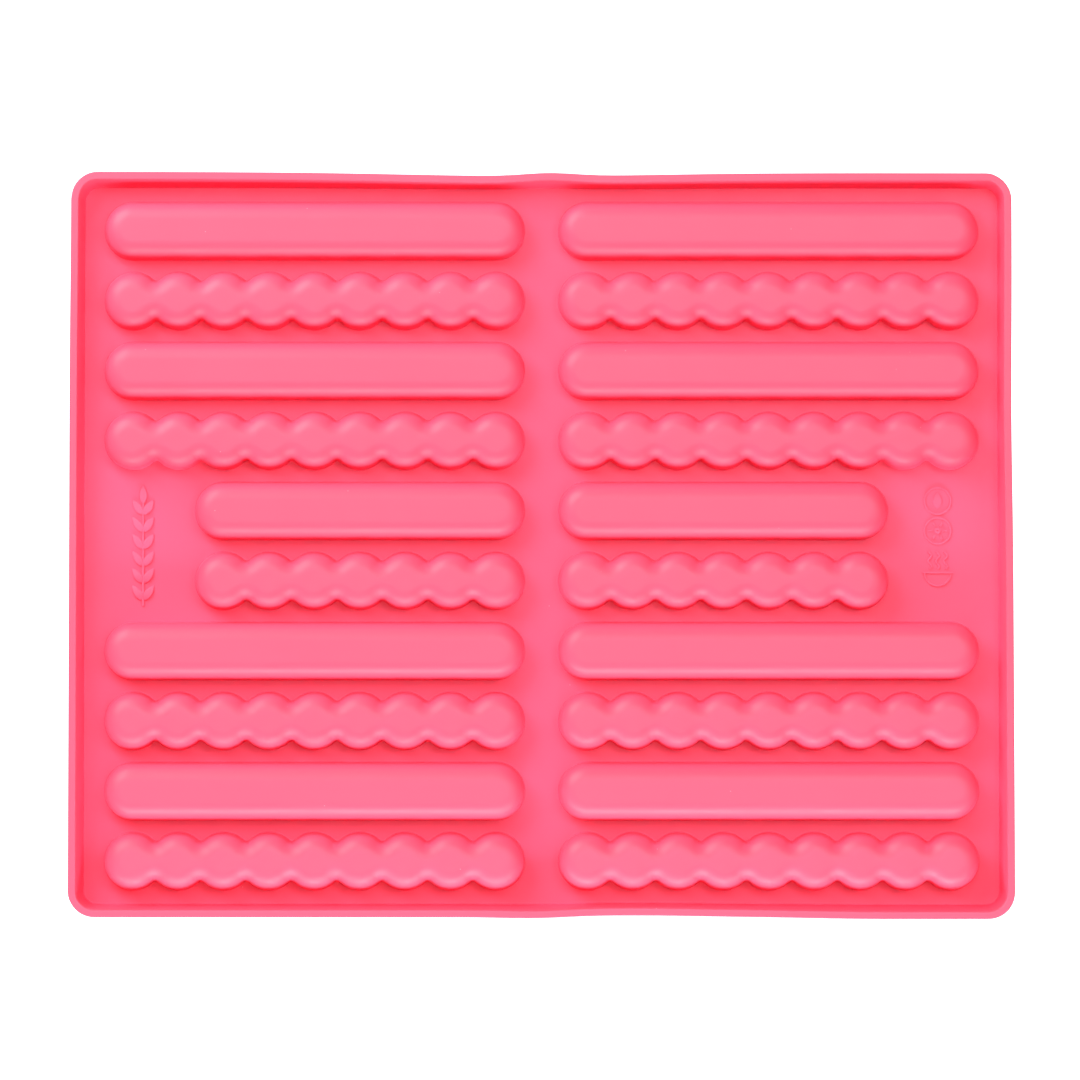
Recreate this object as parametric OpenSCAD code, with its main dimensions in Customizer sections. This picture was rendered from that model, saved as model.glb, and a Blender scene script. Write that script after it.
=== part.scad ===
// Flexible moulding mat with two columns of bar cavities, lying on its flat open face.
// Plain round-ended bars alternate with beaded bars. The cavity backs and the rim stand up (+Z).
// The mat folds about the strip between its two columns. Millimetres, origin under the centre.

/* [Mat] */
// Overall length, across the two columns
mat_l = 380; // [378:1:400]
// Overall width, along the columns
mat_w = 300; // [296:1:320]
// Overall height, shared by the rim and the cavity backs
mat_h = 14.5; // [13:0.5:17]
// Thickness of the web and of the cavity walls
wall = 1.5; // [1.2:0.1:2]
// Outer radius of the mat's corners
corner_r = 10.8; // [8:0.2:14]

/* [Rim] */
// Width of the rim's flat land
rim_land = 3.1; // [2.4:0.1:4]
// How much wider the rim is at its foot than at its land
rim_draft = 1.6; // [0.6:0.1:2.6]
// Rounding of the land's two edges
rim_edge = 0.5; // [0.2:0.1:0.8]

/* [Cavities] */
// Number of cavities in each column
rows = 10; // [4:2:10]
// Distance from one cavity's centre line to the next
row_pitch = 28.3; // [26:0.1:28.8]
// Width of a cavity's back at its foot
bar_w = 23.3; // [22.4:0.1:24]
// Distance between two beads of a beaded bar
bead_pitch = 18.3; // [17.6:0.1:18.6]
// Number of beads along a long bar
long_beads = 9; // [7:1:9]
// Number of beads along the short bars in the middle rows
short_beads = 7; // [5:1:7]
// Radius of the shoulder between a cavity's wall and its flat back
shoulder = 7.2; // [6:0.2:8]
// Width of the straight core that joins the beads
core_w = 16.8; // [16.2:0.1:17.6]
// How far the core's back lies below the backs of the beads
core_drop = 0.6; // [0.3:0.1:1]
// Width of the gap between the two columns
column_gap = 13.7; // [12.1:0.2:15.3]

/* [Fold] */
// Width of the strip that bends when the mat is folded
fold_w = 10; // [8:0.5:11]

/* [Marks] */
// Height of the raised leaf sprig
sprig_h = 0.9; // [0.4:0.1:1.2]
// Length of the leaf sprig
sprig_l = 49; // [40:1:52]
// Height of the raised use symbols
symbol_h = 0.4; // [0.3:0.1:0.8]
// Outer diameter of a symbol's ring
ring_d = 11.4; // [9:0.2:11.6]

/* [Hidden] */
$fn = 48;

rim_foot = rim_land + rim_draft;
web_l = mat_l - 2 * rim_foot;
web_w = mat_w - 2 * rim_foot;
web_corner_r = corner_r - rim_foot;
bar_r = bar_w / 2;
core_r = core_w / 2;
core_shoulder = shoulder - core_drop - 0.1;
mark_x = mat_l / 2 - 28.9;
silicone = [0.98, 0.31, 0.42];

function web_name(side, row) = str("web_", side, "_", row);
function is_beaded(row) = row % 2 == 0;
// A beaded cavity is in two parts that meet in a valley, and a plain one is whole
function cup_parts(row) = is_beaded(row) ? ["_outer", "_inner"] : [""];
function cup_name(side, row, part) = str(is_beaded(row) ? "beaded_cup_" : "plain_cup_", side, "_", row, part);
function beads(row) = abs(row - (rows + 1) / 2) < 1 ? short_beads : long_beads;
function outer_beads(row) = (beads(row) - 1) / 2;
function part_beads(row, part) =
    part == "_outer" ? [0:outer_beads(row) - 1] : [outer_beads(row):beads(row) - 1];
function run(row) = (beads(row) - 1) * bead_pitch;
function row_y(row) = ((rows + 1) / 2 - row) * row_pitch;
function bar_x(row) = column_gap / 2 + bar_r + run(row) / 2;
function arc(x, z, r, from, to) = [for (k = [0:4]) let (a = from + (to - from) * k / 4)
    [x + r * cos(a), z + r * sin(a)]];

// Section of the rim: how far in from the outer face, and the height
rim_section = concat(
    [[0, 0], [rim_foot, 0], [rim_foot, wall]],
    arc(rim_land - rim_edge, mat_h - rim_edge, rim_edge, 0, 90),
    arc(rim_edge, mat_h - rim_edge, rim_edge, 90, 180)
);

// Everything is drawn for the left half, and the right half is its mirror image
module on_side(side) {
    if (side == "left") children();
    else mirror([1, 0, 0]) children();
}

// Outline of one cavity's back, lying along X round its centre
module bar_outline(row) {
    width = is_beaded(row) ? core_w : bar_w;
    square([run(row), width], center = true);
    for (i = [0:beads(row) - 1])
        if (is_beaded(row) || i == 0 || i == beads(row) - 1)
            translate([i * bead_pitch - run(row) / 2, 0]) circle(r = bar_r);
}

// Half section of a cavity: a straight wall, a round shoulder and a flat back
module half_section(half_w, top, radius, foot) {
    translate([0, foot]) square([half_w, top - radius - foot]);
    translate([0, foot]) square([half_w - radius, top - foot]);
    translate([half_w - radius, top - radius]) intersection() {
        circle(r = radius);
        square(radius);
    }
}

// A straight stretch of that section, centred along X
module straight_body(length, half_w, top, radius, foot) {
    translate([-length / 2, 0, 0]) rotate([90, 0, 90]) linear_extrude(length) {
        half_section(half_w, top, radius, foot);
        mirror([1, 0]) half_section(half_w, top, radius, foot);
    }
}

// Solid shape of a cavity or one part of it, drawn in by inset from its outer surface
module bar_body(row, part, inset, foot) {
    half = run(row) / 2;
    if (is_beaded(row)) {
        straight_body(2 * half, core_r - inset, mat_h - core_drop - inset, core_shoulder - inset, foot);
        for (i = part_beads(row, part))
            translate([i * bead_pitch - half, 0, 0])
                rotate_extrude() half_section(bar_r - inset, mat_h - inset, shoulder - inset, foot);
    } else {
        straight_body(2 * half, bar_r - inset, mat_h - inset, shoulder - inset, foot);
        for (end = [-1, 1])
            translate([end * half, 0, 0]) rotate([0, 0, -90 * end]) rotate_extrude(angle = 180)
                half_section(bar_r - inset, mat_h - inset, shoulder - inset, foot);
    }
}

module shell(row, part) {
    difference() {
        bar_body(row, part, 0, 0);
        bar_body(row, part, wall, -1);
    }
}

module cup(side, row, part) {
    cut_x = (outer_beads(row) - 0.5) * bead_pitch - run(row) / 2;
    color(silicone) on_side(side) translate([-bar_x(row), row_y(row), 0])
        if (part == "") shell(row, part);
        else intersection() {
            shell(row, part);
            translate([part == "_outer" ? cut_x - mat_l : cut_x, -bar_w, -1])
                cube([mat_l, 2 * bar_w, 2 * mat_h]);
        }
}

// Outline of one half of the web, inside the rim's foot
module half_web_outline() {
    straight_w = web_w - 2 * web_corner_r;
    length = (web_l - fold_w) / 2;
    translate([-web_l / 2, -straight_w / 2]) square([length, straight_w]);
    translate([web_corner_r - web_l / 2, -web_w / 2]) square([length - web_corner_r, web_w]);
    for (end = [-1, 1])
        translate([web_corner_r - web_l / 2, end * straight_w / 2]) circle(r = web_corner_r);
}

// The stretch of web round one cavity. The first and last reach the rim
module web(side, row) {
    back = row == 1 ? web_w / 2 : row_y(row) + row_pitch / 2;
    front = row == rows ? -web_w / 2 : row_y(row) - row_pitch / 2;
    color(silicone) on_side(side) linear_extrude(wall) difference() {
        intersection() {
            half_web_outline();
            translate([-mat_l / 2, front]) square([mat_l, back - front]);
        }
        translate([-bar_x(row), row_y(row)]) bar_outline(row);
    }
}

module fold_web() {
    color(silicone) translate([-fold_w / 2, -web_w / 2, 0]) cube([fold_w, web_w, wall]);
}

// Rim along the back (end = 1) or front (end = -1) edge, from x in the direction of +X
module rim_run(end, x, length) {
    translate([x, end * mat_w / 2, 0]) mirror([0, (end + 1) / 2, 0])
        rotate([90, 0, 90]) linear_extrude(length) polygon(rim_section);
}

module half_rim(side) {
    side_run = mat_w - 2 * corner_r;
    corner_x = corner_r - mat_l / 2;
    color(silicone) on_side(side) {
        translate([-mat_l / 2, side_run / 2, 0]) rotate([90, 0, 0])
            linear_extrude(side_run) polygon(rim_section);
        for (end = [-1, 1]) {
            rim_run(end, corner_x, -fold_w / 2 - corner_x);
            translate([corner_x, end * side_run / 2, 0]) rotate([0, 0, end > 0 ? 90 : 180])
                rotate_extrude(angle = 90) polygon([for (p = rim_section) [corner_r - p[0], p[1]]]);
        }
    }
}

module fold_rim(end) {
    color(silicone) rim_run(end, -fold_w / 2, fold_w);
}

// Pointed leaf along +X from the origin: the overlap of two equal circles
module leaf(length, width) {
    r = (pow(length / 2, 2) + pow(width / 2, 2)) / width;
    intersection_for(s = [-1, 1]) translate([length / 2, s * (r - width / 2)]) circle(r = r);
}

// Raised sprig on the web beside the short bars: a stem with pairs of leaves
module leaf_sprig() {
    stem_w = 0.9;
    pairs = 6;
    leaf_l = 7.4;
    leaf_w = 3;
    spread = 36;
    step = (sprig_l - leaf_l) / pairs;
    color(silicone) translate([-mark_x, -sprig_l / 2, wall]) rotate([0, 0, 90]) linear_extrude(sprig_h) {
        translate([0, -stem_w / 2]) square([sprig_l - leaf_l / 2, stem_w]);
        translate([sprig_l - leaf_l, 0]) leaf(leaf_l, leaf_w);
        for (i = [0:pairs - 1], s = [-1, 1])
            translate([(i + 0.35) * step, 0]) rotate([0, 0, s * spread]) leaf(leaf_l, leaf_w);
    }
}

module ring(outer_d, line) {
    difference() {
        circle(d = outer_d);
        circle(d = outer_d - 2 * line);
    }
}

// Raised symbols on the other web: a drop in a ring, a sun in a ring and a plain bowl
module use_symbols() {
    line = 0.7;
    step = ring_d + 0.7;
    color(silicone) translate([mark_x - 1, 0, wall]) linear_extrude(symbol_h) {
        translate([0, 1.5 * step]) {
            ring(ring_d, line);
            rotate([0, 0, 90]) translate([-3, 0]) leaf(6.4, 3.6);
        }
        translate([0, 0.5 * step]) {
            ring(ring_d, line);
            circle(d = 2.6);
            for (a = [0:60:300]) rotate([0, 0, a]) translate([2, -line / 2]) square([1.9, line]);
        }
        translate([0, -0.9 * step]) {
            intersection() {
                ring(ring_d, line);
                translate([-ring_d / 2, -ring_d / 2]) square([ring_d, ring_d / 2]);
            }
            translate([-ring_d / 2 - 0.6, -line / 2]) square([ring_d + 1.2, line]);
        }
    }
}

half_rim("left");  // left_rim
half_rim("right");  // right_rim
fold_web();
fold_rim(1);  // fold_rim_back
fold_rim(-1);  // fold_rim_front
for (side = ["left", "right"], row = [1:rows])
    web(side, row);
for (side = ["left", "right"], row = [1:rows], part = cup_parts(row))
    cup(side, row, part);
leaf_sprig();
use_symbols();
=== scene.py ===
"""Silicone bar mould mat, lying with its cavity backs up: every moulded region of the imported
frame is remade as a smooth surface with fillets, wall thickness and an open underside, and gets
a silicone material. Then come the floor, the lights and the camera. Lengths are in metres."""
import math

import bpy
import numpy as np
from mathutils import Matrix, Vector
from mathutils.geometry import delaunay_2d_cdt


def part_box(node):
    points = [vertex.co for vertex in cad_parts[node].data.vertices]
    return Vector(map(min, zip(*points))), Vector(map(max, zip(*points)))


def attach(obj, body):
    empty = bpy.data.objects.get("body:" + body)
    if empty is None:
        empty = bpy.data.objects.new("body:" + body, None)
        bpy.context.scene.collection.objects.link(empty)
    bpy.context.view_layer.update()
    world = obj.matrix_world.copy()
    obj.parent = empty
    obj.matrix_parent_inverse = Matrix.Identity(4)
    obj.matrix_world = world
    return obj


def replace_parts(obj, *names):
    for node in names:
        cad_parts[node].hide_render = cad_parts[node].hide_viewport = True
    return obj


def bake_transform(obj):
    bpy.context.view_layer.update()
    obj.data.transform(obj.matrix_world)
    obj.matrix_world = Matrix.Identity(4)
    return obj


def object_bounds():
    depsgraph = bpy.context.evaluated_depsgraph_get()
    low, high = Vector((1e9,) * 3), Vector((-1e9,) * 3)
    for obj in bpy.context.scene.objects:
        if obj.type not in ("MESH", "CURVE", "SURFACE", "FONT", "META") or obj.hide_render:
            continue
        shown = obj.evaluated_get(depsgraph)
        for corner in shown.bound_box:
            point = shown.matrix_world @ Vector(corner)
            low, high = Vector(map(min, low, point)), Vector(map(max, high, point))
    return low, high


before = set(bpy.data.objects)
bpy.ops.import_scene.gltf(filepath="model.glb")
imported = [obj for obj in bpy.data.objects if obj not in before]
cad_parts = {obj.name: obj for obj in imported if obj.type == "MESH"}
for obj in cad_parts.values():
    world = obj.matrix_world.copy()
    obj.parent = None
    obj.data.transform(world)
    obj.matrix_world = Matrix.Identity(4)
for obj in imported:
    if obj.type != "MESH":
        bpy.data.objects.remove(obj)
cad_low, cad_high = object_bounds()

MM = 0.001

# ---- Sizes from the frame ----
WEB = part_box("fold_web")[1].z
TOP = cad_high.z
HALF_X, HALF_Y = cad_high.x, cad_high.y
FOLD_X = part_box("fold_web")[1].x
RIM_FOOT = HALF_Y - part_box("fold_web")[1].y
BAR_R = (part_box("plain_cup_left_1")[1].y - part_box("plain_cup_left_1")[0].y) / 2
ROWS = sum(name.startswith("web_left_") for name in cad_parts)
ROW_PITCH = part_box("web_left_3")[1].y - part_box("web_left_3")[0].y
SIDES = {"left": -1, "right": 1}

# ---- Sizes of the moulding's finer shapes ----
WALL = WEB
NOMINAL_BEAD_PITCH = 18.3 * MM
VALLEY_R = 1.6 * MM
CORNER_R = 10.8 * MM
RIM_LAND = 3.1 * MM
RIM_DRAFT = 9.1
CUP_DRAFT = 4.0
EDGE_R = 0.5 * MM
FOOT_R = 0.4 * MM
FILLET_R = 0.25 * MM
LIP_R = 0.8 * MM
SHOULDER_R = 7.2 * MM
BEAD_DIP = 0.25 * MM
CUP_SEAM = 1.0 * MM
RIM_SEAM = RIM_FOOT + 1.0 * MM
STATION = 6.0 * MM
BARS_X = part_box("plain_cup_right_1")[1].x + CUP_SEAM
BARS_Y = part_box("plain_cup_right_1")[1].y + CUP_SEAM
FOLD_STEPS = 12


# ---- Profiles and outlines ----
def pen(start, heading, moves):
    """Draws a line of ("go", length) and ("turn", radius, degrees, steps) moves, where a turn to
    the left has positive degrees. Gives the points and the normals on the line's left."""
    at, angle = np.array(start, float), math.radians(heading)
    points, normals = [], []

    def mark():
        points.append(at.copy())
        normals.append((-math.sin(angle), math.cos(angle)))

    mark()
    for kind, size, *turn in moves:
        if kind == "go":
            at = at + size * np.array((math.cos(angle), math.sin(angle)))
            mark()
            continue
        degrees, steps = turn
        side = math.copysign(size, degrees)
        centre = at + side * np.array((-math.sin(angle), math.cos(angle)))
        for _ in range(steps):
            angle += math.radians(degrees) / steps
            at = centre - side * np.array((-math.sin(angle), math.cos(angle)))
            mark()
    return np.array(points), np.array(normals)


def rise(height, *bends):
    """Length of a wall at the cups' draft that makes up height, less what the bends take."""
    sine = math.sin(math.radians(CUP_DRAFT))
    return (height - sum(bends) * (1 - sine)) / math.cos(math.radians(CUP_DRAFT))


def outer_profile():
    """Cup's outer skin in (distance in from its outline, height): web, fillet, wall, shoulder."""
    turn = 90 - CUP_DRAFT
    fillet_x = FILLET_R * math.sin(math.radians(turn))
    return pen((-CUP_SEAM, WEB), 0, [
        ("go", CUP_SEAM - fillet_x),
        ("turn", FILLET_R, turn, 4),
        ("go", rise(TOP - WEB, FILLET_R, SHOULDER_R)),
        ("turn", SHOULDER_R, -turn, 10),
    ])


def inner_profile():
    """Cup's inner skin the same way: the mat's open face, the cavity's lip, wall and shoulder."""
    turn = 90 - CUP_DRAFT
    inner_r = SHOULDER_R - WALL
    points, normals = pen((-CUP_SEAM, 0), 0, [
        ("go", CUP_SEAM + WALL - LIP_R * math.sin(math.radians(turn))),
        ("turn", LIP_R, turn, 4),
        ("go", rise(TOP - WALL, LIP_R, inner_r)),
        ("turn", inner_r, -turn, 8),
    ])
    return points, -normals


def rim_profile():
    """Rim's section from the seam in the open face, round the outside, to the seam in the web."""
    turn = 90 - RIM_DRAFT
    sine, cosine = math.sin(math.radians(turn)), math.cos(math.radians(turn))
    slope = (TOP - WEB - (EDGE_R + FILLET_R) * (1 - cosine)) / sine
    used = RIM_LAND - EDGE_R + (EDGE_R + FILLET_R) * sine + slope * cosine
    return pen((RIM_SEAM, 0), 180, [
        ("go", RIM_SEAM - FOOT_R),
        ("turn", FOOT_R, -90, 3),
        ("go", TOP - FOOT_R - EDGE_R),
        ("turn", EDGE_R, -90, 4),
        ("go", RIM_LAND - 2 * EDGE_R),
        ("turn", EDGE_R, -turn, 4),
        ("go", slope),
        ("turn", FILLET_R, turn, 4),
        ("go", RIM_SEAM - used),
    ])


def arc(centre, radius, start, end, steps, inward=-1, last=True):
    """Points on an arc from start to end degrees, with the directions into the shape."""
    angles = np.radians(np.linspace(start, end, steps + 1))[: steps + 1 if last else steps]
    out = np.stack([np.cos(angles), np.sin(angles)], 1)
    return np.array(centre) + radius * out, inward * out


def chain(*pieces):
    return np.concatenate([p for p, _ in pieces]), np.concatenate([n for _, n in pieces])


def straight(start, end, direction):
    """The inner points of a straight stretch, with the direction into the shape."""
    start, end = np.array(start), np.array(end)
    count = max(2, round(float(np.linalg.norm(end - start)) / STATION))
    points = np.array([start + (end - start) * k / count for k in range(1, count)])
    return points, np.tile(direction, (len(points), 1)).astype(float)


def plain_outline(centre, run):
    """Anticlockwise outline of a round-ended bar."""
    x0, x1, y = centre[0] - run / 2, centre[0] + run / 2, centre[1]
    return chain(
        arc((x1, y), BAR_R, -90, 90, 24),
        straight((x1, y + BAR_R), (x0, y + BAR_R), (0, -1)),
        arc((x0, y), BAR_R, 90, 270, 24),
        straight((x0, y - BAR_R), (x1, y - BAR_R), (0, 1)),
    )


def beaded_outline(centre, run, beads):
    """Anticlockwise outline of a row of overlapping discs with filleted valleys."""
    pitch = run / (beads - 1)
    xs = [centre[0] - run / 2 + pitch * k for k in range(beads)]
    y = centre[1]
    reach = math.sqrt((BAR_R + VALLEY_R) ** 2 - (pitch / 2) ** 2)
    lean = math.degrees(math.atan2(reach, pitch / 2))
    parts = [arc((xs[-1], y), BAR_R, lean - 180, 180 - lean, 30)]
    for k in range(beads - 2, -1, -1):
        parts.append(valley((xs[k] + pitch / 2, y + reach), -lean, lean - 180))
        if k:
            parts.append(arc((xs[k], y), BAR_R, lean, 180 - lean, 8))
    parts.append(arc((xs[0], y), BAR_R, lean, 360 - lean, 30))
    for k in range(1, beads):
        parts.append(valley((xs[k] - pitch / 2, y - reach), 180 - lean, lean))
        if k < beads - 1:
            parts.append(arc((xs[k], y), BAR_R, 180 + lean, 360 - lean, 8))
    return chain(*parts)


def valley(centre, start, end):
    """Inner points of the fillet between two beads; its centre is outside the bar."""
    points, inward = arc(centre, VALLEY_R, start, end, 6, inward=1)
    return points[1:-1], inward[1:-1]


# ---- How the soft mat lies ----
def smooth(t):
    t = np.clip(t, 0, 1)
    return t * t * (3 - 2 * t)


def bell(x, centre, width):
    return np.exp(-(((x - centre) / width) ** 2))


def back_edge(x):
    """How far the rim's top stands out along the back edge: a soft dip with an old crease in it."""
    return (0.25 - 1.8 * x - 1.5 * bell(x, -0.005, 0.07) + 1.3 * bell(x, 0.0035, 0.015)) * MM


def front_edge(x):
    """The same along the front edge, which also hangs slack towards its right end."""
    slack = 0.7 * smooth((x - 0.08) / 0.06) - 0.8 * bell(x, 0.037, 0.036)
    return (slack + 0.6 * bell(x, -0.003, 0.016) - 0.44) * MM


def left_edge(y):
    """The same along the left edge, which leans outwards towards the front."""
    return (0.15 - 2.0 * y - 0.35 * smooth((y - 0.06) / 0.08)) * MM


def right_edge(y):
    """The same along the right edge, with a shallow dip past the middle."""
    return (-0.2 - 3.8 * y - 0.5 * bell(y, 0.055, 0.04)) * MM


def settle(p):
    """Moves points as the soft rim wanders from a rectangle: half at its foot, all at its top."""
    x, y, z = p.T.copy()
    tall = 0.45 + 0.55 * np.clip((z - WEB) / (TOP - WEB), 0, 1)
    grow_y = smooth((np.abs(y) - BARS_Y) / (HALF_Y - RIM_FOOT - BARS_Y)) * tall
    grow_x = smooth((np.abs(x) - BARS_X) / (HALF_X - RIM_FOOT - BARS_X)) * tall
    shift_y = np.where(y > 0, back_edge(x), -front_edge(x)) * grow_y
    shift_x = np.where(x > 0, right_edge(y), -left_edge(y)) * grow_x
    return np.stack([x + shift_x, y + shift_y, z], 1)


def bent(points, normals, move):
    """Points after move, and their normals carried along by two small steps in the surface."""
    helper = np.where(np.abs(normals[:, 2:3]) < 0.9, (0, 0, 1.0), (1.0, 0, 0))
    first = np.cross(normals, helper)
    first /= np.linalg.norm(first, axis=1, keepdims=True)
    second = np.cross(normals, first)
    step = 1e-5
    at = move(points)
    turned = np.cross(move(points + step * first) - at, move(points + step * second) - at)
    return at, turned / np.linalg.norm(turned, axis=1, keepdims=True)


# ---- Mesh building ----
class Skin:
    """Points, normals and faces of one closed piece."""

    def __init__(self):
        self.points, self.normals, self.faces, self.flat = [], [], [], []

    def add(self, points, normals):
        """Adds points with their normals and gives their numbers."""
        first = len(self.points)
        self.points.extend(map(tuple, points))
        self.normals.extend(map(tuple, normals))
        return list(range(first, len(self.points)))

    def sweep(self, outline, profile):
        """A row of points along the outline for each profile point."""
        (path, inward), (section, facing) = outline, profile
        rows = []
        for (d, z), (out, up) in zip(section, facing):
            points = np.column_stack([path + d * inward, np.full(len(path), z)])
            normals = np.column_stack([out * inward, np.full(len(path), up)])
            rows.append(self.add(points, normals))
        return rows

    def strip(self, low, high, closed=True, flip=False, flat=False):
        """Quads between two rows of points. Unflipped, they face left of the way up from low."""
        count = len(low)
        for i in range(count if closed else count - 1):
            j = (i + 1) % count
            quad = (low[i], low[j], high[j], high[i])
            self.faces.append(quad[::-1] if flip else quad)
            self.flat.append(flat)

    def strips(self, rows, closed=True, flip=False):
        for low, high in zip(rows, rows[1:]):
            self.strip(low, high, closed, flip)

    def fill(self, loops, up=True):
        """Triangles between closed loops of points, seen in plan."""
        numbers = [i for loop in loops for i in loop]
        plan = np.array([self.points[i][:2] for i in numbers]) / MM
        edges, first = [], 0
        for loop in loops:
            edges += [(first + k, first + (k + 1) % len(loop)) for k in range(len(loop))]
            first += len(loop)
        made = delaunay_2d_cdt([Vector(p) for p in plan], edges, [], 0, 1e-5)
        origin = [given[0] for given in made[3]]
        triangles = np.array([[origin[v] for v in face] for face in made[2]])
        inside = self.covers(plan, edges, plan[triangles].mean(1))
        for a, b, c in triangles[inside]:
            (ax, ay), (bx, by), (cx, cy) = plan[a], plan[b], plan[c]
            left = (bx - ax) * (cy - ay) - (by - ay) * (cx - ax) > 0
            face = (numbers[a], numbers[b], numbers[c])
            self.faces.append(face if left == up else face[::-1])
            self.flat.append(False)

    @staticmethod
    def covers(plan, edges, spots):
        """Which spots lie inside the loops, by counting the edges that a ray crosses."""
        start, end = plan[[e[0] for e in edges]], plan[[e[1] for e in edges]]
        x, y = spots[:, :1], spots[:, 1:]
        spans = (start[:, 1] > y) != (end[:, 1] > y)
        rise_y = np.where(end[:, 1] == start[:, 1], 1, end[:, 1] - start[:, 1])
        crossing = start[:, 0] + (y - start[:, 1]) * (end[:, 0] - start[:, 0]) / rise_y
        return (spans & (x < crossing)).sum(1) % 2 == 1

    def move(self, how):
        points, normals = bent(np.array(self.points), np.array(self.normals), how)
        self.points, self.normals = list(map(tuple, points)), list(map(tuple, normals))

    def piece(self, name, body=None, own_normals=True, material=None):
        """Makes the mesh object, settled as the mat lies, with its exact normals or smooth ones."""
        self.move(settle)
        mesh = bpy.data.meshes.new(name)
        mesh.from_pydata(self.points, [], self.faces)
        mesh.shade_smooth()
        if own_normals:
            self.shade(mesh)
        else:
            mesh.set_sharp_from_angle(angle=math.radians(50))
        obj = bpy.data.objects.new(name, mesh)
        bpy.context.scene.collection.objects.link(obj)
        obj.data.materials.append(material or SILICONE)
        if body:
            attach(obj, body)
        return obj

    def shade(self, mesh):
        """Gives each corner its point's normal, or its face's own on the flat seams."""
        loops = np.zeros(len(mesh.loops), int)
        mesh.loops.foreach_get("vertex_index", loops)
        normals = np.array(self.normals)[loops]
        for polygon, flat in zip(mesh.polygons, self.flat):
            if flat:
                normals[list(polygon.loop_indices)] = polygon.normal
        mesh.normals_split_custom_set([tuple(n) for n in normals])


# ---- Silicone ----
class Nodes:
    """Short calls for a material's node tree."""

    def __init__(self, name):
        self.material = bpy.data.materials.new(name)
        self.material.use_nodes = True
        self.tree = self.material.node_tree
        self.shader = self.tree.nodes["Principled BSDF"]

    def add(self, kind, inputs=None, **settings):
        node = self.tree.nodes.new(kind)
        for key, value in settings.items():
            setattr(node, key, value)
        for key, value in (inputs or {}).items():
            if isinstance(value, bpy.types.NodeSocket):
                self.tree.links.new(value, node.inputs[key])
            else:
                node.inputs[key].default_value = value
        return node

    def link(self, output, socket):
        self.tree.links.new(output, self.shader.inputs[socket])


def silicone(name, low, high, roughness):
    """Matt pink silicone: low is the colour down at the web and high that on the backs, blended by
    height. The low colour is painted shade: a pinker, slightly darker tint that stands in for the
    hue the web takes in the shade of the walls.
    It has faint clouding, a satin finish that varies a little, and a few specks."""
    n = Nodes(name)
    place = n.add("ShaderNodeTexCoord").outputs["Object"]

    def noise(scale, detail):
        made = n.add("ShaderNodeTexNoise", {"Vector": place, "Scale": scale, "Detail": detail})
        return made.outputs["Fac"]

    def spread(value, low, high):
        mapped = n.add("ShaderNodeMapRange", {
            "Value": value, "From Min": 0.3, "From Max": 0.7, "To Min": low, "To Max": high,
        })
        return mapped.outputs["Result"]

    height = n.add("ShaderNodeSeparateXYZ", {"Vector": place}).outputs["Z"]
    lift = n.add("ShaderNodeMapRange", {"Value": height, "From Min": WEB, "From Max": TOP})
    # Painted shade: the colour shifts with height from the pinker tint on the shaded web to the
    # backs' own colour.
    depth = n.add("ShaderNodeMix", {
        "Factor": lift.outputs["Result"],
        "A": (*low, 1), "B": (*high, 1),
    }, data_type="RGBA")
    cloud = n.add("ShaderNodeMix", {
        "Factor": spread(noise(32.0, 3.0), 0.0, 0.08),
        "A": depth.outputs["Result"], "B": (0.93, 0.12, 0.2, 1),
    }, data_type="RGBA")
    cells = n.add("ShaderNodeTexVoronoi", {"Vector": place, "Scale": 125.0})
    dot = n.add("ShaderNodeMapRange", {
        "Value": cells.outputs["Distance"],
        "From Min": 0.012, "From Max": 0.03, "To Min": 0.5, "To Max": 0.0,
    }).outputs["Result"]
    rare = n.add("ShaderNodeMath", {0: cells.outputs["Color"], 1: 0.62}, operation="GREATER_THAN")
    speck = n.add("ShaderNodeMath", {0: dot, 1: rare.outputs[0]}, operation="MULTIPLY")
    dusty = n.add("ShaderNodeMix", {
        "Factor": speck.outputs[0], "A": cloud.outputs["Result"], "B": (0.95, 0.55, 0.6, 1),
    }, data_type="RGBA")
    n.link(dusty.outputs["Result"], "Base Color")
    n.link(spread(noise(90.0, 4.0), roughness - 0.03, roughness + 0.03), "Roughness")
    swell = n.add("ShaderNodeBump", {
        "Height": noise(55.0, 2.0), "Strength": 0.4, "Distance": 0.25 * MM,
    })
    grain = n.add("ShaderNodeBump", {
        "Height": noise(2600.0, 2.0), "Normal": swell.outputs[0], "Strength": 0.35,
        "Distance": 0.02 * MM,
    })
    n.link(grain.outputs[0], "Normal")
    n.shader.inputs["IOR"].default_value = 1.4
    return n.material


# The first colour, for the web, is painted shade: pinker and a little darker than the backs'
# colour, for the web's shaded hue.
SILICONE = silicone("pink_silicone", (0.99, 0.078, 0.175), (0.985, 0.084, 0.157), 0.45)
MARK_SILICONE = silicone("pink_silicone_mark", (0.96, 0.098, 0.2), (0.96, 0.098, 0.2), 0.6)


# ---- The mat's pieces ----
def row_y(row):
    return ((ROWS + 1) / 2 - row) * ROW_PITCH


def cup_name(side, row):
    return f"{'plain' if row % 2 else 'beaded'}_cup_{side}_{row}"


def cup_nodes(side, row):
    """The frame's nodes that make up a cup: two parts of a beaded one, or a plain one whole."""
    return [cup_name(side, row) + part for part in ([""] if row % 2 else ["_outer", "_inner"])]


def cup_box(side, row):
    lows, highs = zip(*(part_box(node) for node in cup_nodes(side, row)))
    return Vector(map(min, zip(*lows))), Vector(map(max, zip(*highs)))


def cup_outline(side, row):
    """The outline of a cup's foot, from its nodes' box."""
    low, high = cup_box(side, row)
    centre = ((low.x + high.x) / 2, (low.y + high.y) / 2)
    run = high.x - low.x - 2 * BAR_R
    if row % 2:
        return plain_outline(centre, run)
    return beaded_outline(centre, run, round(run / NOMINAL_BEAD_PITCH) + 1)


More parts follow.
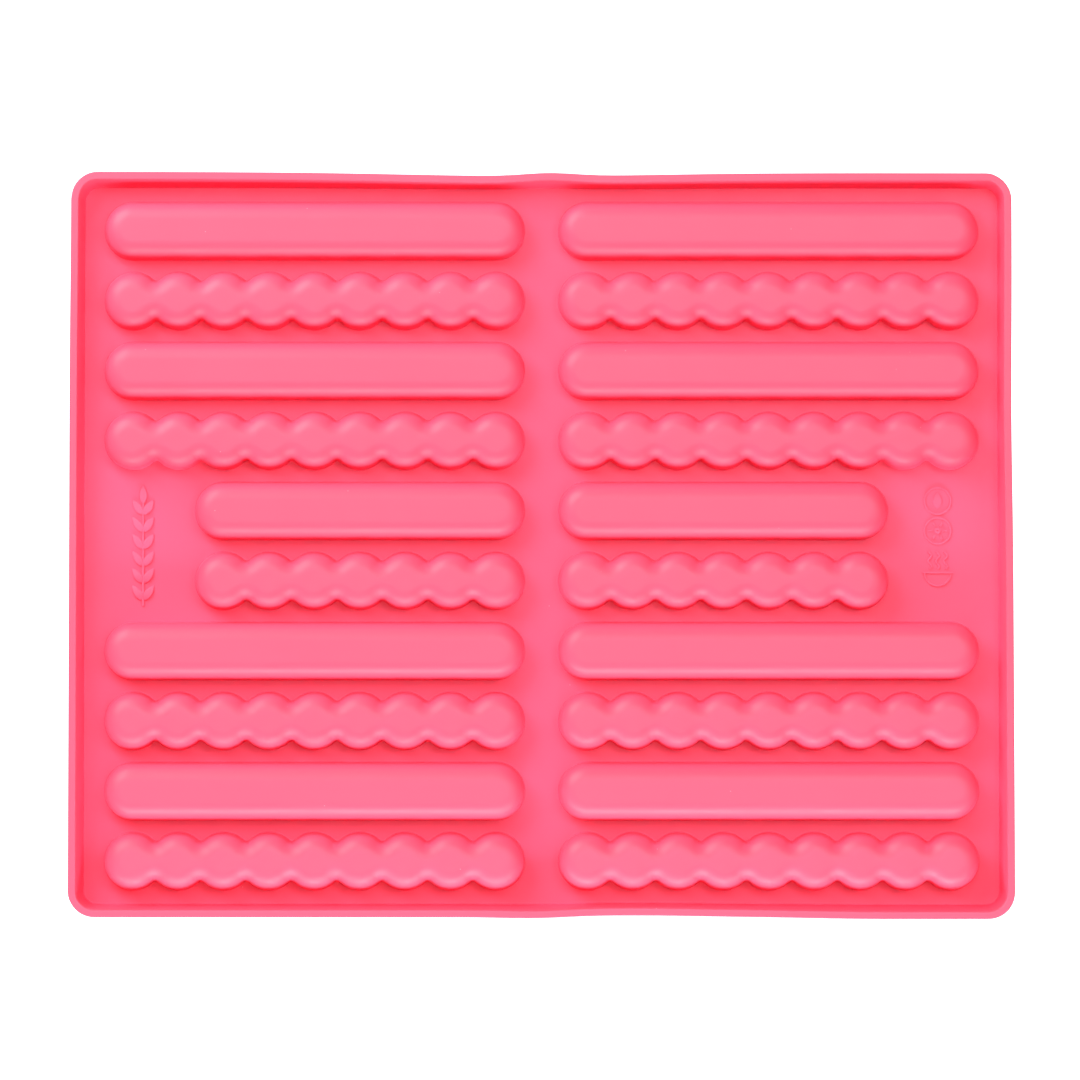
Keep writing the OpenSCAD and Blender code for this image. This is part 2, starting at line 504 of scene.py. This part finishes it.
def dip_between_beads(side, row):
    """The back of a beaded bar sinks a little between its beads."""
    low, high = cup_box(side, row)
    run = high.x - low.x - 2 * BAR_R
    pitch = run / round(run / NOMINAL_BEAD_PITCH)

    def sink(p):
        from_left, from_right = p[:, 0] - low.x - BAR_R, high.x - BAR_R - p[:, 0]
        along = smooth(from_left / pitch * 4) * smooth(from_right / pitch * 4)
        wave = (1 - np.cos(2 * math.pi * from_left / pitch)) / 2
        depth = BEAD_DIP * along * wave * smooth((p[:, 2] - TOP / 2) / (TOP / 2))
        return p - np.column_stack([np.zeros((len(p), 2)), depth])

    return sink


def make_cup(side, row):
    skin, outline = Skin(), cup_outline(side, row)
    outer = skin.sweep(outline, outer_profile())
    inner = skin.sweep(outline, inner_profile())
    skin.strips(outer)
    skin.strips(inner, flip=True)
    skin.strip(inner[0], outer[0], flat=True)
    skin.fill([outer[-1]])
    skin.fill([inner[-1]], up=False)
    if row % 2 == 0:
        skin.move(dip_between_beads(side, row))
    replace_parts(skin.piece(cup_name(side, row) + "_skin", side + "_half"), *cup_nodes(side, row))


def stations(low, high):
    """Evenly spaced places from low to high, about a station apart."""
    return list(np.linspace(low, high, max(1, round(abs(high - low) / STATION)) + 1))


def rim_xs():
    """Places across the half mat, from the fold to where the corner begins."""
    return stations(FOLD_X, HALF_X - CORNER_R)


def web_ys():
    """Places along the mat: the bounds of every row's web, with stations between them."""
    bounds = [row_y(row) + ROW_PITCH / 2 for row in range(2, ROWS + 1)]
    bounds = [HALF_Y - CORNER_R, *bounds, CORNER_R - HALF_Y]
    ys = [bounds[0]]
    for back, front in zip(bounds, bounds[1:]):
        ys += stations(back, front)[1:]
    return np.array(ys)


def rim_path(sign):
    """The half rim's outer face in plan, anticlockwise, with the directions inwards."""
    corner_x, corner_y = HALF_X - CORNER_R, HALF_Y - CORNER_R
    xs = np.array(rim_xs())
    back = np.column_stack([-xs, np.full(len(xs), HALF_Y)]), np.tile((0.0, -1.0), (len(xs), 1))
    ys = web_ys()[1:-1]
    side = np.column_stack([np.full(len(ys), -HALF_X), ys]), np.tile((1.0, 0.0), (len(ys), 1))
    back_corner = arc((-corner_x, corner_y), CORNER_R, 90, 180, 10)
    front_corner = arc((-corner_x, -corner_y), CORNER_R, 180, 270, 10)
    front = back[0][::-1] * (1, -1), -back[1]
    path, inward = chain(
        (back[0][:-1], back[1][:-1]), back_corner, side, front_corner, (front[0][1:], front[1][1:])
    )
    if sign > 0:
        path, inward = -path, -inward
    return path, inward


def sweep_rim(skin, outline):
    """A rim of the full section along an open path, closed at both ends."""
    rows = skin.sweep(outline, rim_profile())
    skin.strips(rows, closed=False)
    skin.strip(rows[-1], rows[0], closed=False, flat=True)
    skin.faces += [tuple(row[0] for row in rows), tuple(row[-1] for row in rows[::-1])]
    skin.flat += [True, True]


def make_rims():
    for side, sign in SIDES.items():
        skin = Skin()
        sweep_rim(skin, rim_path(sign))
        node = side + "_rim"
        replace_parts(skin.piece(node + "_skin", side + "_half"), node)


def plate(skin, loop, holes=()):
    """A level sheet of the web between an outer loop and holes, all in plan."""
    rings = []
    for z, up in ((WEB, 1), (0, -1)):
        rings.append([
            skin.add([(x, y, z) for x, y in ring], [(0, 0, up)] * len(ring))
            for ring in (loop, *holes)
        ])
        skin.fill(rings[-1], up=up > 0)
    top, bottom = rings
    for k in range(len(top)):
        skin.strip(bottom[k], top[k], flip=k > 0, flat=True)


def make_web(side, row):
    """The stretch of web round one cavity, out to the rim's seam and the fold."""
    near = 1e-7
    back = HALF_Y if row == 1 else row_y(row) + ROW_PITCH / 2
    front = -HALF_Y if row == ROWS else row_y(row) - ROW_PITCH / 2
    path, inward = rim_path(-1)
    seam = path + RIM_SEAM * inward
    ys = web_ys()[::-1]
    cross = np.array(rim_xs()[1:])
    parts = [[(-FOLD_X, y) for y in ys if front - near < y < back + near]]
    if row > 1:
        parts.append([(-x, back) for x in cross])
    parts.append(seam[(seam[:, 1] > front - near) & (seam[:, 1] < back + near)])
    if row < ROWS:
        parts.append([(-x, front) for x in cross[::-1]])
    loop = np.concatenate([np.array(part) for part in parts])
    if side == "right":
        loop = loop[::-1] * (-1, 1)
    outline, inward = cup_outline(side, row)
    skin = Skin()
    plate(skin, loop, [outline - CUP_SEAM * inward])
    node = f"web_{side}_{row}"
    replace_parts(skin.piece(node + "_skin", side + "_half"), node)


def fold_xs():
    return np.linspace(-FOLD_X, FOLD_X, FOLD_STEPS + 1)


def cross_fold(skin, node):
    """Makes a piece that spans the two halves, baked in place and attached to neither."""
    obj = skin.piece(node + "_skin")
    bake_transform(obj)
    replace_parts(obj, node)


def make_fold():
    skin = Skin()
    reach = HALF_Y - RIM_SEAM
    ys = [-reach, *web_ys()[::-1], reach]
    sheets = []
    for z, up in ((0, -1), (WEB, 1)):
        sheets.append([
            skin.add([(x, y, z) for x in fold_xs()], [(0, 0, up)] * (FOLD_STEPS + 1)) for y in ys
        ])
        for low, high in zip(sheets[-1], sheets[-1][1:]):
            skin.strip(low, high, closed=False, flip=up < 0)
    bottom, top = sheets
    edges = [
        (bottom[0], top[0]), (bottom[-1][::-1], top[-1][::-1]),
        ([r[-1] for r in bottom], [r[-1] for r in top]),
        ([r[0] for r in bottom[::-1]], [r[0] for r in top[::-1]]),
    ]
    for low, high in edges:
        skin.strip(low, high, closed=False, flat=True)
    cross_fold(skin, "fold_web")
    for node, end in (("fold_rim_back", 1), ("fold_rim_front", -1)):
        skin = Skin()
        xs = -end * fold_xs()
        sweep_rim(skin, (
            np.column_stack([xs, np.full(len(xs), end * HALF_Y)]),
            np.tile((0.0, -float(end)), (len(xs), 1)),
        ))
        cross_fold(skin, node)


# ---- Raised marks ----
# Steps across a line, and how square its shoulders and its back are: 1 is a round line.
ACROSS = 12
SIDE_POWER, BACK_POWER = 0.3, 0.25
# The lines stand these many times as tall as their CAD, so that their edges read as crisply.
SPRIG_STAND, SYMBOL_STAND = 1.2, 1.5


def stroke(skin, path, half, height, closed=False):
    """A raised line along path with rounded shoulders, of the half widths and heights given."""
    path = np.array(path, float)
    count = len(path)
    half, height = np.broadcast_to(half, count), np.broadcast_to(height, count)
    if closed:
        along = np.roll(path, -1, 0) - np.roll(path, 1, 0)
    else:
        along = np.gradient(path, axis=0)
    along /= np.linalg.norm(along, axis=1, keepdims=True)
    left = np.column_stack([-along[:, 1], along[:, 0]])
    root = WEB - 0.05 * MM
    rings = []
    for k in range(count):
        ring = []
        for a in np.linspace(math.pi, 0, ACROSS + 1):
            spread = math.copysign(abs(math.cos(a)) ** SIDE_POWER, math.cos(a))
            lift = max(math.sin(a), 0) ** BACK_POWER
            x, y = path[k] - spread * half[k] * left[k]
            ring.append((x, y, root + (height[k] + WEB - root) * lift))
        rings.append(skin.add(ring, [(0, 0, 1)] * len(ring)))
    for a, b in zip(rings, rings[1:] + rings[:1] if closed else rings[1:]):
        skin.strip(b, a)
    if not closed:
        skin.faces += [tuple(rings[0]), tuple(rings[-1][::-1])]
        skin.flat += [True, True]


def turned(points, degrees, at=(0, 0)):
    c, s = math.cos(math.radians(degrees)), math.sin(math.radians(degrees))
    return np.array(points) @ np.array(((c, s), (-s, c))) + np.array(at)


def circle(radius, at=(0, 0), count=48):
    angles = np.linspace(0, 2 * math.pi, count, endpoint=False)
    return np.column_stack([np.cos(angles), np.sin(angles)]) * radius + np.array(at)


def leaf(skin, length, width, height, degrees, at):
    """A pointed leaf from its stalk outwards."""
    t = np.linspace(0, 1, 19)
    swell = np.sin(math.pi * t ** 0.85) ** 0.9
    path = turned(np.column_stack([t * length, 0 * t]), degrees, at)
    half, tip_height = 0.12 * MM + width / 2 * swell, 0.15 * MM
    stroke(skin, path, half, tip_height + (height - tip_height) * swell ** 0.6)


def mark_piece(skin, node, body):
    obj = skin.piece(node + "_relief", body, own_normals=False, material=MARK_SILICONE)
    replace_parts(obj, node)


def make_sprig():
    low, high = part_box("leaf_sprig")
    x, tall = (low.x + high.x) / 2, SPRIG_STAND * (high.z - WEB)
    pairs, leaf_l, leaf_w, spread = 6, 7.4 * MM, 3.0 * MM, 36
    step = (high.y - low.y - leaf_l) / pairs
    skin = Skin()
    stem = np.linspace(low.y + 0.3 * MM, high.y - leaf_l / 2, 40)
    taper = np.linspace(0.5, 0.3, 40) * MM
    stroke(skin, np.column_stack([np.full(40, x), stem]), taper, 0.75 * tall)
    leaf(skin, leaf_l, leaf_w, tall, 90, (x, high.y - leaf_l))
    for i in range(pairs):
        for s in (-1, 1):
            leaf(skin, leaf_l, leaf_w, tall, 90 + s * spread, (x, low.y + (i + 0.35) * step))
    mark_piece(skin, "leaf_sprig", "left_half")


def make_symbols():
    """A drop in a ring, a sun in a ring and a steaming bowl."""
    low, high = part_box("use_symbols")
    x, tall, line = (low.x + high.x) / 2, SYMBOL_STAND * (high.z - WEB), 0.38 * MM
    ring_r = 5.7 * MM
    step = 2 * ring_r + 0.7 * MM
    skin = Skin()
    for k in (1.5, 0.5):
        stroke(skin, circle(ring_r - line, (x, k * step)), line, tall, closed=True)
    leaf(skin, 6.4 * MM, 3.6 * MM, tall, 90, (x, 1.5 * step - 3.0 * MM))
    stroke(skin, circle(0.75 * MM, (x, 0.5 * step), 24), 0.55 * MM, tall, closed=True)
    for a in range(0, 360, 60):
        ray = turned([(r * MM, 0) for r in np.linspace(2.1, 3.8, 6)], a, (x, 0.5 * step))
        stroke(skin, ray, line, tall)
    bowl_y = -0.9 * step
    stroke(skin, circle(ring_r - line, (x, bowl_y))[24:], line, tall)
    stroke(skin, [(x + r * MM, bowl_y) for r in np.linspace(-6.2, 6.2, 24)], line, tall)
    steam_y = np.linspace(0, 7, 30)
    for r in (-3.2, 0, 3.2):
        steam_x = x + (r + 0.7 * np.sin(1.5 * steam_y)) * MM
        stroke(skin, np.column_stack([steam_x, bowl_y + (1.6 + steam_y) * MM]), line, tall)
    mark_piece(skin, "use_symbols", "right_half")


for side in SIDES:
    for row in range(1, ROWS + 1):
        make_cup(side, row)
        make_web(side, row)
make_rims()
make_fold()
make_sprig()
make_symbols()


# ---- Floor, lights and camera ----
def softbox(name, at, size, strength):
    """A rectangular light facing the mat, whose strength is what it adds to the light there."""
    lamp = bpy.data.lights.new(name, "AREA")
    lamp.shape = "RECTANGLE"
    lamp.size, lamp.size_y = size
    lamp.energy = strength * (math.pi * Vector(at).length) ** 2
    obj = bpy.data.objects.new(name, lamp)
    obj.location = at
    obj.rotation_euler = (-Vector(at)).to_track_quat("-Z", "Y").to_euler()
    obj.visible_camera = False
    bpy.context.scene.collection.objects.link(obj)


def aloft(tilt, azimuth, distance):
    """A place seen from the mat at tilt degrees from straight up and azimuth degrees from +X."""
    tilt, azimuth = math.radians(tilt), math.radians(azimuth)
    level = distance * math.sin(tilt)
    return level * math.cos(azimuth), level * math.sin(azimuth), distance * math.cos(tilt)


def white_floor():
    """A bright white floor, far enough down for half of the mat to hang above it, and clear from
    below, so that the open cavities can be looked at."""
    mesh = bpy.data.meshes.new("floor")
    far, down = 30.0, -HALF_X - 10 * MM
    corners = [(-far, -far, down), (far, -far, down), (far, far, down), (-far, far, down)]
    mesh.from_pydata(corners, [], [(0, 1, 2, 3)])
    floor = bpy.data.objects.new("floor", mesh)
    bpy.context.scene.collection.objects.link(floor)
    paper = Nodes("white_paper")
    shader = paper.shader
    shader.inputs["Base Color"].default_value = (0.5, 0.5, 0.5, 1)
    shader.inputs["Roughness"].default_value = 0.9
    shader.inputs["Emission Color"].default_value = (1, 1, 1, 1)
    shader.inputs["Emission Strength"].default_value = 1.0
    one_sided = paper.add("ShaderNodeMixShader", {
        0: paper.add("ShaderNodeNewGeometry").outputs["Backfacing"],
        1: shader.outputs[0],
        2: paper.add("ShaderNodeBsdfTransparent").outputs[0],
    })
    output = paper.tree.nodes["Material Output"]
    paper.tree.links.new(one_sided.outputs[0], output.inputs["Surface"])
    mesh.materials.append(paper.material)


white_floor()
softbox("key", aloft(50, 135, 1.3), (0.8, 0.65), 0.76)
softbox("low_key", aloft(72, 135, 1.1), (0.6, 0.3), 0.35)
softbox("right_fill", aloft(50, 0, 1.3), (0.6, 0.5), 0.12)
softbox("high_back", aloft(25, 90, 1.9), (0.6, 0.6), 0.18)
softbox("high_right", aloft(25, 30, 1.9), (0.6, 0.6), 0.22)
softbox("overhead", aloft(0, 0, 2.2), (0.9, 0.9), 0.14)
softbox("low_front", aloft(72, 270, 1.1), (0.6, 0.3), 0.31)
softbox("front_strip", (0, -0.45, 0.16), (0.9, 0.1), 1.40)
softbox("back_strip", (-0.2, 0.45, 0.25), (0.5, 0.15), 0.15)

world = bpy.data.worlds.new("studio")
world.use_nodes = True
world.node_tree.nodes["Background"].inputs["Color"].default_value = (1, 1, 1, 1)
world.node_tree.nodes["Background"].inputs["Strength"].default_value = 0.12
bpy.context.scene.world = world
bpy.context.scene.view_settings.view_transform = "Standard"

CAMERA_DISTANCE = 2.36
CAMERA_TILT = math.radians(1.2)
FRAME_WIDTH = 0.4344
target = Vector((-0.00064, 0.00213, TOP))
camera = bpy.data.cameras.new("camera")
camera.sensor_width = 36
camera.lens = camera.sensor_width * CAMERA_DISTANCE / FRAME_WIDTH
camera.clip_end = 20
view = bpy.data.objects.new("camera", camera)
towards = Vector((0, -math.sin(CAMERA_TILT), math.cos(CAMERA_TILT)))
view.location = target + CAMERA_DISTANCE * towards
view.rotation_euler = (CAMERA_TILT, 0, 0)
bpy.context.scene.collection.objects.link(view)
bpy.context.scene.camera = view
